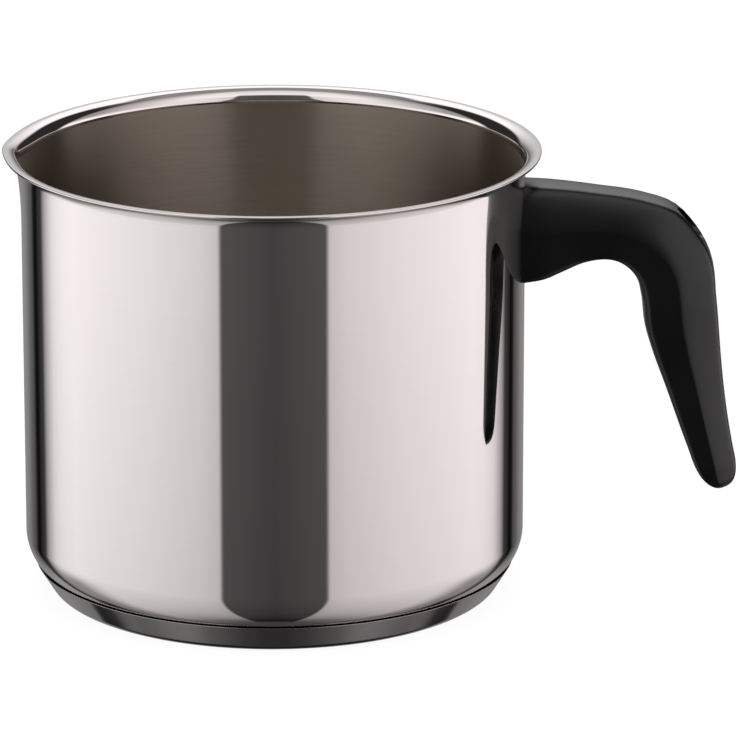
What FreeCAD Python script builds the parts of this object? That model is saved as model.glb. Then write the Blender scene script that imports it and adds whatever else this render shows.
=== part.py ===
import FreeCAD, Part
import math
import os

# A 14 cm milk pan: a drawn stainless shell with a pouring rim, a sandwich base, and a phenolic handle that
# one long screw pulls against a bracket on the wall.
# Frame: the origin is the middle of the base's underside, +Z is up and +X points at the handle.
# Sizes are in millimetres and degrees.

Vector = FreeCAD.Vector
ORIGIN = Vector(0, 0, 0)
UP = Vector(0, 0, 1)
OUTWARD = Vector(1, 0, 0)
ACROSS = Vector(0, 1, 0)

# Resolution of the free-form skins
SPOUT_STATIONS = 20  # points along the spout's part of each ring of the rim
SPOUT_MARGIN = 1.2  # that part, as a share of the spout's own width
RING_STATIONS = 24  # points along the plain part of each ring of the rim
LEAN_STATIONS = 7  # rings up the leaning wall
CURL_STATIONS = 6  # rings round the curl
SECTION_STATIONS = 28  # points round each ring of the handle
RUN_SHARES = (0.0, 0.25, 0.5, 0.75, 1.0)  # rings along the run
ELBOW_SHARES = (0.25, 0.5, 0.75, 1.0)  # rings round the elbow, after the run's last
GRIP_SHARES = (0.0, 0.3, 0.6, 1.0)  # rings down the straight grip
DOME_SHARES = (0.6, 0.3, 0.1, 0.01)  # rings of the rounded end, as what is left of its length
TOLERANCE = 0.001  # joins the rim's skin to the round wall, and finds edges by their place

# Drawn shell
inner_radius = 70.0
sheet = 0.7
rim_height = 127.2
floor_corner = 12.3  # inside radius where the wall turns into the floor
curl_radius = 4.0  # inside radius of the rim's outward curl
lip_flat = 1.2  # level edge of the lip, past the curl

# Pouring spout, pressed into the rim opposite the handle
spout_depth = 17.0  # how far below the curl the wall starts to lean out
spout_reach = 2.4  # how far the wall has leaned out where the curl starts
spout_lip_reach = 1.3  # how far the lip's edge stands out
spout_half_width = 18.0  # along the wall, from the spout's middle to where it runs out
spout_nose = 2.5  # softness of the spout's keel

# Sandwich base
capsule_sheet = 0.6
core_thickness = 3.6
seam_rise = 4.2  # top edge of the capsule, above the shell's underside
seam_gap = 0.05  # between that edge and the shell's corner
base_inset = 5.2  # how much narrower the capsule is at the ground than at that edge
base_bend = 1.2  # inside radius of the capsule's lower edge
core_lap = 2.4  # how far the core is squeezed up round the shell's corner

# Handle, along its middle line: a level run on the screw's axis, an elbow, a counter bend and a straight grip
handle_drop = 8.55  # from the rim down to the top of the handle's root
run_length = 21.9
elbow_radius = 21.6
elbow_turn = 88.0
counter_radius = 60.0
counter_turn = 11.6  # back from the elbow's turn, which splays the grip
grip_length = 46.0
grip_dome = 6.5  # length of the rounded end
tip_kick = 0.5  # how far the rounded end swings outside the grip's line
tip_undercut = 1.6  # more than 1 rounds the inside of the end off sooner than its outside

# Handle sections: above and below the middle line, and half the width
root_rise = 12.1
root_fall = 16.8
run_arch = 1.6  # 1 is a straight top to the run, more keeps it high near the wall
neck_rise = 10.2
neck_fall = 9.8
neck_half_width = 10.2
elbow_rises = (10.5, 12.0, 11.7, 10.8)  # at each quarter of the elbow, fullest on its outer corner
elbow_falls = (9.7, 9.9, 10.3, 10.4)
heel_half_width = 10.4
counter_rise = 10.8  # at the middle of the counter bend
counter_fall = 10.1
grip_rises = (10.3, 8.6, 7.3, 6.2)  # down the straight grip
grip_falls = (9.7, 8.5, 7.2, 5.4)
tip_half_width = 7.6
root_wall = 2.6  # phenolic beside the bracket's flanges
squareness = 2.3  # 2 is an ellipse, more is boxier
seat_gap = 0.02  # between the wall and what is pressed or welded against it

# Bracket, bent from strip and spot-welded to the wall
bracket_sheet = 1.2
bracket_height = 12.0
bracket_depth = 11.5  # from the wall to the outer face of the web
flange_width = 2.6
nut_gap = 1.3  # between the nut and the bracket's legs
bracket_bend = 0.8  # inside bend radius
pocket_clearance = 0.3
pocket_end_gap = 0.5  # between the web and the end of the pocket, so that the screw can pull

# M4 screw and its hardware
screw_radius = 2.0
screw_proud = 1.0  # point of the screw past the nut
screw_point = 0.5
screw_clearance = 0.25
thread_clearance = 0.05
head_radius = 3.9
head_height = 2.8
head_round = 0.9
recess_span = 4.4
recess_width = 0.9
recess_depth = 1.7
nut_flats = 7.0
nut_height = 3.2
washer_radius = 4.0
washer_thickness = 0.6
washer_clearance = 0.15
spring_radius = 3.7
spring_thickness = 0.9
spring_clearance = 0.1
spring_gap = 0.8
spring_slant = 20.0
well_clearance = 0.3  # round the widest piece in the screw well
well_web = 17.6  # phenolic between the pocket and the floor of the well

# Sizes that follow
outer_radius = inner_radius + sheet
underside = capsule_sheet + core_thickness
corner_radius = floor_corner + sheet
corner_axis = Vector(outer_radius - corner_radius, 0, underside + corner_radius)
curl_height = rim_height - curl_radius
spout_start = curl_height - spout_depth
lip_radius = inner_radius + curl_radius + lip_flat
seam_height = underside + seam_rise
screw_height = rim_height - handle_drop - root_rise
leg_gap = nut_flats / 2 + nut_gap  # from the screw's axis to the inside of each leg
bracket_half_width = leg_gap + bracket_sheet
flange_half_width = bracket_half_width + flange_width
root_half_width = flange_half_width + pocket_clearance + root_wall
web_face = outer_radius + bracket_depth
pocket_end = web_face + pocket_end_gap
well_floor = pocket_end + well_web
well_radius = max(head_radius, washer_radius, spring_radius) + well_clearance
hole_radius = screw_radius + screw_clearance
head_seat = well_floor + washer_thickness + spring_thickness
nut_back = web_face - bracket_sheet
nut_start = nut_back - nut_height
screw_tip = nut_start - screw_proud


def at(x, z):
    """A point in the plane of the handle, which is also the plane of every turned outline."""
    return Vector(x, 0, z)


def mix(first, last, share):
    """A value part of the way from one to another."""
    return first + (last - first) * share


def line(start, end):
    """A straight edge."""
    return Part.LineSegment(start, end).toShape()


def arc(centre, radius, start, end):
    """An arc in the plane of the handle, from one angle to another, counted from +X towards +Z."""
    points = []
    for angle in (start, (start + end) / 2, end):
        turn = math.radians(angle)
        points.append(centre + at(radius * math.cos(turn), radius * math.sin(turn)))
    return Part.Arc(*points).toShape()


def turned(edges):
    """A solid turned round the pan's axis from a closed outline."""
    return Part.Face(Part.Wire(edges)).revolve(ORIGIN, UP, 360)


def rod(radius, start, end):
    """A round bar on the screw's axis, between two distances from the pan's axis."""
    return Part.makeCylinder(radius, end - start, at(start, screw_height), OUTWARD)


def block(start, end, half_width, height):
    """A block centred on the screw's axis, between two distances from the pan's axis."""
    corner = Vector(start, -half_width, screw_height - height / 2)
    return Part.makeBox(end - start, 2 * half_width, height, corner)


def wall_column(radius):
    """A column on the pan's axis, as tall as the pan."""
    return Part.makeCylinder(radius, rim_height)


def spout_share(angle):
    """A ring's share of the spout's reach at an angle round the pan: 1 on the keel, 0 on the plain wall."""
    distance = inner_radius * abs(math.remainder(angle - math.pi, 2 * math.pi))
    softened = math.hypot(distance, spout_nose) - spout_nose
    return max(0.0, 1.0 - softened / spout_half_width) ** 2


def ring_angles():
    """Angles round a ring, close together along the spout and wider apart elsewhere."""
    zone = SPOUT_MARGIN * (spout_half_width + spout_nose) / inner_radius
    plain_step = (2 * math.pi - 2 * zone) / RING_STATIONS
    angles = []
    for step in range(1, RING_STATIONS):
        angles.append(zone - math.pi + step * plain_step)
    for step in range(SPOUT_STATIONS + 1):
        angles.append(math.pi - zone + 2 * zone * step / SPOUT_STATIONS)
    return angles


def closed_curve(points, parameters):
    """A smooth closed curve through points, with one parameter for each point and one for the return."""
    curve = Part.BSplineCurve()
    curve.interpolate(Points=points, PeriodicFlag=True, Parameters=parameters)
    return curve


def skin(rings):
    """A smooth tube through closed curves that share their parameters."""
    pole_rows = [ring.getPoles() for ring in rings]
    places = [0.0]
    for lower, upper in zip(pole_rows, pole_rows[1:]):
        steps = [(end - start).Length for start, end in zip(lower, upper)]
        places.append(places[-1] + sum(steps) / len(steps))
    columns = []
    for points in zip(*pole_rows):
        column = Part.BSplineCurve()
        column.interpolate(Points=list(points), Parameters=places)
        columns.append(column)
    surface = Part.BSplineSurface()
    surface.buildFromPolesMultsKnots(
        [column.getPoles() for column in columns],
        rings[0].getMultiplicities(), columns[0].getMultiplicities(),
        rings[0].getKnots(), columns[0].getKnots(),
        True, False, rings[0].Degree, columns[0].Degree)
    return surface.toShape()


def end_rings(tube):
    """The two closed edges of a tube, the lower one first."""
    edges = [edge for edge in tube.Edges if edge.isClosed()]
    return sorted(edges, key=lambda edge: edge.BoundBox.ZMin)


def rim_ring(radius, height, reach):
    """A level ring of the rim, which stands out by a reach at the spout."""
    angles = ring_angles()
    points = []
    for angle in angles:
        distance = radius + reach * spout_share(angle)
        points.append(Vector(distance * math.cos(angle), distance * math.sin(angle), height))
    return closed_curve(points, angles + [angles[0] + 2 * math.pi])


def rim_skin(offset):
    """The rim's skin, offset outwards from the inside of the pan: leaning wall, curl and lip."""
    rings = []
    for step in range(LEAN_STATIONS + 1):
        share = math.sin(math.pi / 2 * step / LEAN_STATIONS)
        height = spout_start + share * spout_depth
        rings.append(rim_ring(inner_radius + offset, height, spout_reach * share**2))
    radius = curl_radius - offset
    for step in range(1, CURL_STATIONS + 1):
        turn = math.radians(90 * step / CURL_STATIONS)
        reach = mix(spout_reach, spout_lip_reach, step / (CURL_STATIONS + 1))
        height = curl_height + radius * math.sin(turn)
        rings.append(rim_ring(inner_radius + curl_radius - radius * math.cos(turn), height, reach))
    rings.append(rim_ring(lip_radius, rim_height - offset, spout_lip_reach))
    return skin(rings)


def rim():
    """The spouted top of the shell, from where the spout starts to the lip."""
    inside = rim_skin(0.0)
    outside = rim_skin(sheet)
    inner_foot, inner_lip = end_rings(inside)
    outer_foot, outer_lip = end_rings(outside)
    lip_edge = Part.makeRuledSurface(inner_lip, outer_lip)
    foot = Part.makeFace([Part.Wire([outer_foot]), Part.Wire([inner_foot])], "Part::FaceMakerBullseye")
    shell = Part.makeShell([inside.reversed(), outside, lip_edge, foot.Faces[0]])
    shell.sewShape()
    return Part.makeSolid(shell)


def pan_body():
    """Floor, corner and straight wall turned in one piece, with the rim on top."""
    floor_top = underside + sheet
    wall_foot = corner_axis.z
    cup = turned([
        line(at(0, underside), at(corner_axis.x, underside)),
        arc(corner_axis, corner_radius, -90, 0),
        line(at(outer_radius, wall_foot), at(outer_radius, spout_start)),
        line(at(outer_radius, spout_start), at(inner_radius, spout_start)),
        line(at(inner_radius, spout_start), at(inner_radius, wall_foot)),
        arc(corner_axis, floor_corner, 0, -90),
        line(at(corner_axis.x, floor_top), at(0, floor_top)),
        line(at(0, floor_top), at(0, underside)),
    ])
    return cup.fuse([rim()], TOLERANCE)


def corner_reach(height):
    """Radius of the shell's rounded corner at a height."""
    return corner_axis.x + math.sqrt(corner_radius**2 - (corner_axis.z - height) ** 2)


def capsule_side(height, offset=0.0):
    """A point of the capsule's sloping side: on its inside, or outside that by an offset square to it."""
    lean = math.atan2(base_inset, seam_height)
    inner_top = corner_reach(seam_height) + seam_gap
    drop = seam_height - height
    return at(inner_top - drop * math.tan(lean) + offset / math.cos(lean), height)


def rounded_foot(shape, height, radius):
    """A turned shape with its widest round edge at a height rounded."""
    rings = []
    for edge in shape.Edges:
        box = edge.BoundBox
        if max(abs(box.ZMin - height), abs(box.ZMax - height)) < TOLERANCE:
            rings.append(edge)
    return shape.makeFillet(radius, [max(rings, key=lambda ring: ring.BoundBox.XLength)])


def base_capsule():
    """Stainless cup with a sloping side that shuts the core in."""
    foot = capsule_side(0, capsule_sheet)
    edge = capsule_side(seam_height, capsule_sheet)
    inner_edge = capsule_side(seam_height)
    inner_foot = capsule_side(capsule_sheet)
    cup = turned([
        line(ORIGIN, foot),
        line(foot, edge),
        line(edge, inner_edge),
        line(inner_edge, inner_foot),
        line(inner_foot, at(0, capsule_sheet)),
        line(at(0, capsule_sheet), ORIGIN),
    ])
    cup = rounded_foot(cup, capsule_sheet, base_bend)
    return rounded_foot(cup, 0, base_bend + capsule_sheet)


def heat_spreader():
    """Aluminium core, squeezed out to the capsule's side and up round the shell's corner."""
    top = underside + core_lap
    lap_angle = -math.degrees(math.asin((corner_axis.z - top) / corner_radius))
    foot = capsule_side(capsule_sheet)
    edge = capsule_side(top)
    lap = at(corner_reach(top), top)
    core = turned([
        line(at(0, capsule_sheet), foot),
        line(foot, edge),
        line(edge, lap),
        arc(corner_axis, corner_radius, lap_angle, -90),
        line(at(corner_axis.x, underside), at(0, underside)),
        line(at(0, underside), at(0, capsule_sheet)),
    ])
    return rounded_foot(core, capsule_sheet, base_bend)


def ease(share):
    """Goes from 0 to 1, starting and ending level."""
    return (1 - math.cos(math.pi * share)) / 2


def heading_vectors(heading):
    """Unit vectors along and outside the middle line, where it points down by an angle."""
    turn = math.radians(heading)
    return at(math.cos(turn), -math.sin(turn)), at(math.sin(turn), math.cos(turn))


def bend(start, heading, radius, turn):
    """Where a bend of the middle line ends. A positive turn bends down."""
    side = math.copysign(radius, turn)
    centre = start - heading_vectors(heading)[1] * side
    return centre + heading_vectors(heading + turn)[1] * side


def handle_section(centre, heading, rise, fall, half_width):
    """A rounded, boxy ring square to the handle's middle line."""
    outside = heading_vectors(heading)[1]
    points = []
    turns = [2 * math.pi * step / SECTION_STATIONS for step in range(SECTION_STATIONS + 1)]
    for turn in turns[:-1]:
        side = math.cos(turn)
        lift = math.sin(turn)
        half_height = rise if lift > 0 else fall
        span = (abs(side) / half_width) ** squareness + (abs(lift) / half_height) ** squareness
        reach = span ** (-1 / squareness)
        points.append(centre + ACROSS * (side * reach) + outside * (lift * reach))
    return closed_curve(points, turns)


def run_sections():
    """Rings along the run, from inside the wall to the elbow."""
    buried = math.sqrt(outer_radius**2 - root_half_width**2) - sheet
    sections = [handle_section(at(buried, screw_height), 0, root_rise, root_fall, root_half_width)]
    for share in RUN_SHARES:
        sections.append(handle_section(
            at(outer_radius + share * run_length, screw_height), 0,
            mix(root_rise, neck_rise, share**run_arch),
            mix(root_fall, neck_fall, ease(share)),
            mix(root_half_width, neck_half_width, ease(share))))
    return sections


def elbow_sections(start):
    """Rings round the elbow."""
    sections = []
    for share, rise, fall in zip(ELBOW_SHARES, elbow_rises, elbow_falls):
        turn = share * elbow_turn
        half_width = mix(neck_half_width, heel_half_width, share)
        sections.append(handle_section(bend(start, 0, elbow_radius, turn), turn, rise, fall, half_width))
    return sections


def grip_sections(start):
    """Rings down the counter bend and the tapering grip, closing in a dome."""
    heading = elbow_turn - counter_turn
    straight = bend(start, elbow_turn, counter_radius, -counter_turn)
    along, outside = heading_vectors(heading)
    bend_length = counter_radius * math.radians(counter_turn)
    whole = bend_length + grip_length
    body = grip_length - grip_dome

    def half_width(step):
        return mix(heel_half_width, tip_half_width, (bend_length + step) / whole)

    bend_middle = bend(start, elbow_turn, counter_radius, -counter_turn / 2)
    sections = [handle_section(
        bend_middle, elbow_turn - counter_turn / 2, counter_rise, counter_fall, half_width(-bend_length / 2))]
    for share, rise, fall in zip(GRIP_SHARES, grip_rises, grip_falls):
        centre = straight + along * (body * share)
        sections.append(handle_section(centre, heading, rise, fall, half_width(body * share)))
    for left in DOME_SHARES:
        step = grip_length - grip_dome * left
        dome = math.sqrt(1 - (1 - left) ** 2)
        centre = straight + along * step + outside * (tip_kick * (1 - left) ** 2)
        sections.append(handle_section(
            centre, heading,
            grip_rises[-1] * dome,
            grip_falls[-1] * dome**tip_undercut,
            half_width(step) * dome))
    return sections


def handle():
    """Phenolic moulding, trimmed to the wall, with the bracket's pocket and the screw well."""
    elbow_start = at(outer_radius + run_length, screw_height)
    elbow_end = bend(elbow_start, 0, elbow_radius, elbow_turn)
    sections = run_sections() + elbow_sections(elbow_start) + grip_sections(elbow_end)
    tube = skin(sections)
    caps = [Part.Face(Part.Wire([edge])) for edge in end_rings(tube)]
    shell = Part.makeShell([tube, *caps])
    shell.sewShape()
    moulding = Part.makeSolid(shell)
    pocket_height = bracket_height + 2 * pocket_clearance
    flange_space = outer_radius + seat_gap + bracket_sheet + pocket_clearance
    well_mouth = outer_radius + run_length + 2 * elbow_radius
    for tool in (
        wall_column(outer_radius + seat_gap),
        block(0, flange_space, flange_half_width + pocket_clearance, pocket_height),
        block(0, pocket_end, bracket_half_width + pocket_clearance, pocket_height),
        rod(hole_radius, 0, well_floor),
        rod(well_radius, well_floor, well_mouth),
    ):
        moulding = moulding.cut(tool)
    return moulding


def rounded_front(shape, radius):
    """A block with its two upright edges furthest from the pan rounded."""
    front = shape.BoundBox.XMax
    edges = []
    for edge in shape.Edges:
        box = edge.BoundBox
        if box.XMin > front - TOLERANCE and box.ZLength > box.YLength:
            edges.append(edge)
    return shape.makeFillet(radius, edges)


def handle_bracket():
    """Hat-shaped strip: two flanges on the wall, two legs and a web with the screw's hole."""
    hat = rounded_front(block(0, web_face, bracket_half_width, bracket_height), bracket_bend + bracket_sheet)
    hollow = rounded_front(block(0, nut_back, leg_gap, bracket_height), bracket_bend)
    weld_radius = outer_radius + seat_gap
    flanges = wall_column(weld_radius + bracket_sheet)
    flanges = flanges.common(block(0, web_face, flange_half_width, bracket_height))
    return hat.fuse(flanges).cut(hollow).cut(wall_column(weld_radius)).cut(rod(hole_radius, 0, web_face))


def bracket_nut():
    """Hexagon nut welded inside the bracket's web, with two flats level with the legs."""
    corner = nut_flats / math.sqrt(3)
    points = []
    for step in range(7):
        turn = math.radians(60 * step + 30)
        points.append(Vector(nut_start, corner * math.cos(turn), screw_height + corner * math.sin(turn)))
    prism = Part.Face(Part.makePolygon(points)).extrude(OUTWARD * nut_height)
    return prism.cut(rod(screw_radius + thread_clearance, nut_start, nut_back))


def end_ring(shape, distance):
    """The round edge of a bar at a distance from the pan's axis."""
    for edge in shape.Edges:
        box = edge.BoundBox
        if max(abs(box.XMin - distance), abs(box.XMax - distance)) < TOLERANCE:
            return edge
    raise ValueError(f"no round edge at {distance}")


def handle_screw():
    """Pan-head screw with a cross recess and a chamfered point."""
    shank = rod(screw_radius, screw_tip, head_seat)
    shank = shank.makeChamfer(screw_point, [end_ring(shank, screw_tip)])
    top = head_seat + head_height
    head = rod(head_radius, head_seat, top)
    head = head.makeFillet(head_round, [end_ring(head, top)])
    recess_floor = top - recess_depth
    level_slot = block(recess_floor, top, recess_span / 2, recess_width)
    upright_slot = block(recess_floor, top, recess_width / 2, recess_span)
    return shank.fuse(head).removeSplitter().cut(level_slot).cut(upright_slot)


def flat_washer():
    """Plain washer on the floor of the screw well."""
    end = well_floor + washer_thickness
    ring = rod(washer_radius, well_floor, end)
    return ring.cut(rod(screw_radius + washer_clearance, well_floor, end))


def spring_washer():
    """Split washer, pressed flat, with a slanting gap that is cut past both its faces."""
    start = well_floor + washer_thickness
    ring = rod(spring_radius, start, head_seat)
    ring = ring.cut(rod(screw_radius + spring_clearance, start, head_seat))
    corner = Vector(start - spring_thickness, -spring_gap / 2, screw_height)
    cut_length = head_seat + spring_thickness - corner.x
    gap = Part.makeBox(cut_length, spring_gap, spring_radius, corner)
    gap.rotate(at((start + head_seat) / 2, screw_height), UP, spring_slant)
    return ring.cut(gap)


def main():
    """Writes one file for each piece, and prints its solids, volume and soundness."""
    os.makedirs("parts", exist_ok=True)
    makers = (
        pan_body, base_capsule, heat_spreader, handle, handle_bracket, bracket_nut,
        handle_screw, flat_washer, spring_washer,
    )
    for maker in makers:
        shape = maker()
        shape.exportStep(f"parts/{maker.__name__}.step")
        print(maker.__name__, len(shape.Solids), round(shape.Volume, 2), shape.isValid())


main()
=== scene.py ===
"""Milk pan: the dressed visual model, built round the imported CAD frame.

Everything is in metres in the frame's own axes: +X points along the handle, -X to the
pouring spout, +Z up, and the pan stands on z = 0. Sizes in the classes are millimetres.
"""

import logging
import math
from dataclasses import dataclass
from enum import Enum
from typing import Any, Iterator, Sequence

import bmesh
import bpy
from mathutils import Matrix, Vector


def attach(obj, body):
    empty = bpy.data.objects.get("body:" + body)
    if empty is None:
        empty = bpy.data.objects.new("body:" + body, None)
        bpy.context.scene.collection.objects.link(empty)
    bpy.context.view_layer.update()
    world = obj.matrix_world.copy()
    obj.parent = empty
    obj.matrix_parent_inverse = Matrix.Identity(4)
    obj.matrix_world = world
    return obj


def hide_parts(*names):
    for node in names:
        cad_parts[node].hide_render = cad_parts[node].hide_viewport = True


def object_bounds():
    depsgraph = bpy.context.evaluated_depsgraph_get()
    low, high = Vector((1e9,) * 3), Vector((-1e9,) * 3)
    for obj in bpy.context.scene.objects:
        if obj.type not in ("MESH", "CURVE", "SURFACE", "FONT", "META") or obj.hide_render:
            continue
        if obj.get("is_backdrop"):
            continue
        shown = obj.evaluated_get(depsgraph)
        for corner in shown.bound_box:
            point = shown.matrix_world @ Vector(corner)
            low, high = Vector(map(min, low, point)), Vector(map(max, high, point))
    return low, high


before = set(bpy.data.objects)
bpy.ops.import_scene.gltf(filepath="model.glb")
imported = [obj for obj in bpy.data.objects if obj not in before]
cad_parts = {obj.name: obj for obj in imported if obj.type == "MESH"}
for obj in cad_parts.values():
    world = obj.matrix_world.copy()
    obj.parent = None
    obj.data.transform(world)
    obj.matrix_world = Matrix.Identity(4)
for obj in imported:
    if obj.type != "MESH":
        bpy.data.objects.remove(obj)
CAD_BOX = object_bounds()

LOG = logging.getLogger("milk_pan")
MM = 0.001
MERGE_DISTANCE = 0.002 * MM
TURN_STEPS = 256
CAMERA_TURN = math.radians(2.7)
SOFT = {"interpolation_type": "SMOOTHSTEP"}
Colour = tuple[float, float, float, float]
Pairs = tuple[tuple[float, float], ...]


class Slot(Enum):
    """Material slots of the record that the dressed pieces use."""

    POLISHED = "polished_steel"
    BASE = "base_steel"
    PHENOLIC = "phenolic"


def linear(hex_colour: str) -> Colour:
    """Turn an sRGB hex colour into a linear one.

    Args:
        hex_colour: a hash sign and six hex digits.

    Returns:
        Linear red, green and blue, and an alpha of 1.
    """
    parts = [int(hex_colour[i:i + 2], 16) / 255 for i in (1, 3, 5)]
    red, green, blue = (p / 12.92 if p <= 0.04045 else ((p + 0.055) / 1.055) ** 2.4 for p in parts)
    return red, green, blue, 1.0


def grey(level: float) -> Colour:
    """A neutral linear colour of one level."""
    return level, level, level, 1.0


def add_node(
    tree: bpy.types.NodeTree,
    kind: str,
    inputs: dict[Any, Any] | None = None,
    stops: Sequence[tuple[float, Colour]] = (),
    **settings: Any,
) -> bpy.types.Node:
    """Add a node with its settings, its ramp and its links.

    Args:
        tree: the node tree that gets the node.
        kind: the node's type, without the prefix that all of them share.
        inputs: for an input socket's name or number, a value, the output that feeds it, or
            a node whose first output in use feeds it.
        stops: places and colours of a colour ramp, in rising order.
        settings: the node's own properties.

    Returns:
        The new node.
    """
    node = tree.nodes.new("ShaderNode" + kind)
    for name, value in settings.items():
        setattr(node, name, value)
    for index, (place, colour) in enumerate(stops):
        elements = node.color_ramp.elements
        # A new ramp already has two elements.
        element = elements[index] if index < 2 else elements.new(place)
        element.position = place
        element.color = colour
    for socket, value in (inputs or {}).items():
        if isinstance(value, bpy.types.Node):
            value = next(output for output in value.outputs if output.enabled)
        if isinstance(value, bpy.types.NodeSocket):
            tree.links.new(value, node.inputs[socket])
        else:
            node.inputs[socket].default_value = value
    return node


@dataclass(frozen=True)
class Finish:
    """What every finish has: a material's name and the two ends of its colour and roughness."""

    name: str
    dark: str
    light: str
    smooth: float
    rough: float

    def start(self) -> tuple[bpy.types.Material, bpy.types.NodeTree, bpy.types.NodeSocket]:
        """Make an empty material.

        Returns:
            The material, its tree and the output of its Object coordinates.
        """
        material = bpy.data.materials.new(self.name)
        material.use_nodes = True
        tree = material.node_tree
        tree.nodes.clear()
        place = add_node(tree, "TexCoord").outputs["Object"]
        return material, tree, place

    def shade(
        self,
        tree: bpy.types.NodeTree,
        tone: bpy.types.Node,
        haze: bpy.types.Node,
        normal: bpy.types.Node,
        others: dict[str, Any],
    ) -> None:
        """Finish a material with its one shader.

        Args:
            tree: the material's tree.
            tone: 0 for the dark colour, 1 for the light one.
            haze: 0 for the smoothest places, 1 for the roughest.
            normal: the last bump.
            others: the shader's other sockets, with their values or the nodes that feed them.
        """
        ends = (0.0, linear(self.dark)), (1.0, linear(self.light))
        shader = add_node(tree, "BsdfPrincipled", {
            "Base Color": add_node(tree, "ValToRGB", {"Fac": tone}, ends),
            "Roughness": add_node(
                tree, "MapRange", {"Value": haze, "To Min": self.smooth, "To Max": self.rough},
            ),
            "Normal": normal,
            **others,
        })
        add_node(tree, "OutputMaterial", {"Surface": shader})


@dataclass(frozen=True)
class TurnedMetal(Finish):
    """Sheet metal rubbed round the pan's axis, so that its marks run round the wall and the floor."""

    line: float = 0.4
    streak: float = 40.0
    cloud: float = 25.0
    relief: float = 0.002
    anisotropy: float = 0.0
    grain_turn: float = 0.25

    def build(self) -> bpy.types.Material:
        """Make the metal.

        Returns:
            The material.
        """
        material, tree, place = self.start()
        flat = add_node(tree, "VectorMath", {0: place, 1: (1.0, 1.0, 0.0)}, operation="MULTIPLY")
        radius = add_node(tree, "VectorMath", {0: flat}, operation="LENGTH")
        height = add_node(tree, "SeparateXYZ", {0: place}).outputs["Z"]
        # Height and radius together grow all the way along the section, over floor, corner and wall.
        along = add_node(tree, "Math", {0: radius, 1: height})
        bearing = add_node(tree, "VectorMath", {0: flat}, operation="NORMALIZE")
        lines = add_node(tree, "Math", {0: along, 1: 1 / (self.line * MM)}, operation="MULTIPLY")
        rise = add_node(tree, "CombineXYZ", {"Z": lines})
        reach = PanShell.inner_radius / self.streak
        lay = add_node(
            tree, "VectorMath", {0: bearing, 1: (reach, reach, 0.0), 2: rise}, operation="MULTIPLY_ADD",
        )
        rubbing = add_node(
            tree, "TexNoise", {"Vector": lay, "Scale": 1.0, "Detail": 3.0, "Roughness": 0.6},
        )
        clouds = add_node(
            tree, "TexNoise", {"Vector": place, "Scale": 1 / (self.cloud * MM), "Detail": 2.0},
        )
        haze = add_node(tree, "Math", {0: rubbing, 1: clouds}, operation="MULTIPLY")
        bump = add_node(
            tree, "Bump", {"Height": rubbing, "Strength": 1.0, "Distance": self.relief * MM},
        )
        others: dict[str, Any] = {"Metallic": 1.0}
        if self.anisotropy:
            others |= {
                "Anisotropic": self.anisotropy,
                "Anisotropic Rotation": self.grain_turn,
                "Tangent": add_node(tree, "Tangent", direction_type="RADIAL", axis="Z"),
            }
        self.shade(tree, rubbing, haze, bump, others)
        return material


@dataclass(frozen=True)
class PlainMetal(Finish):
    """Small metal parts with a fine even grain and no direction."""

    grain: float = 0.5
    cloud: float = 4.0
    relief: float = 0.004

    def build(self) -> bpy.types.Material:
        """Make the metal.

        Returns:
            The material.
        """
        material, tree, place = self.start()
        grains = add_node(
            tree, "TexNoise", {"Vector": place, "Scale": 1 / (self.grain * MM), "Detail": 3.0},
        )
        clouds = add_node(
            tree, "TexNoise", {"Vector": place, "Scale": 1 / (self.cloud * MM), "Detail": 2.0},
        )
        bump = add_node(
            tree, "Bump", {"Height": grains, "Strength": 1.0, "Distance": self.relief * MM},
        )
        self.shade(tree, clouds, grains, bump, {"Metallic": 1.0})
        return material


@dataclass(frozen=True)
class Moulding(Finish):
    """Moulded thermoset with a polished skin."""

    fleck: float = 1.2
    ripple: float = 14.0
    fleck_relief: float = 0.003
    ripple_relief: float = 0.02
    index: float = 1.5

    def build(self) -> bpy.types.Material:
        """Make the moulding's skin.

        Returns:
            The material.
        """
        material, tree, place = self.start()
        flecks = add_node(
            tree, "TexNoise", {"Vector": place, "Scale": 1 / (self.fleck * MM), "Detail": 3.0},
        )
        ripples = add_node(
            tree, "TexNoise", {"Vector": place, "Scale": 1 / (self.ripple * MM), "Detail": 1.0},
        )
        swell = add_node(
            tree, "Bump", {"Height": ripples, "Strength": 1.0, "Distance": self.ripple_relief * MM},
        )
        peel = add_node(tree, "Bump", {
            "Height": flecks, "Strength": 1.0, "Distance": self.fleck_relief * MM, "Normal": swell,
        })
        self.shade(tree, flecks, ripples, peel, {"IOR": self.index})
        return material


# Stainless 18/10 sheet, drawn and buffed on a wheel: a mirror with a trace of haze, and
# rubbing lines round the pan that only show where a sharp edge is reflected. The lines are
# drawn 0.6 mm wide, coarser than real ones, so that they can show.
MIRROR_STEEL = TurnedMetal(
    "buffed_stainless", "#DCD6D5", "#DFD9D8", 0.02, 0.075, line=0.6, streak=60.0, cloud=30.0, relief=0.0001,
)
# The same sheet brushed round with a fine abrasive belt: dull along the height, clearer
# round the wall, so that reflections are drawn out into soft upright streaks. Its colour is
# painted shade: darker and browner than the buffed outside, for the dim inside of the pan.
SATIN_STEEL_AND_SHADE = TurnedMetal(
    "brushed_stainless_and_shade", "#A2968B", "#B5A99D", 0.33, 0.41, line=0.45, streak=25.0, cloud=20.0,
    relief=0.0004, anisotropy=1.0,
)
# Capsule of a magnetic stainless grade, fine ground on its side. Its colour is darker than the
# shell's, partly for the grade and partly as painted shade for the pan's shadow on the table that it
# reflects.
CAPSULE_STEEL_AND_SHADE = TurnedMetal(
    "ground_stainless_and_shade", "#A39E9E", "#ADA7A8", 0.05, 0.11, line=0.5, streak=50.0, cloud=22.0, relief=0.0004,
)
# Underside of the capsule, faced on a lathe: rings round the middle that fan the light out.
FACED_STEEL = TurnedMetal(
    "faced_stainless", "#A8A19E", "#B9B2AF", 0.24, 0.40, line=0.7, streak=200.0, cloud=30.0,
    relief=0.004, anisotropy=0.6,
)
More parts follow.
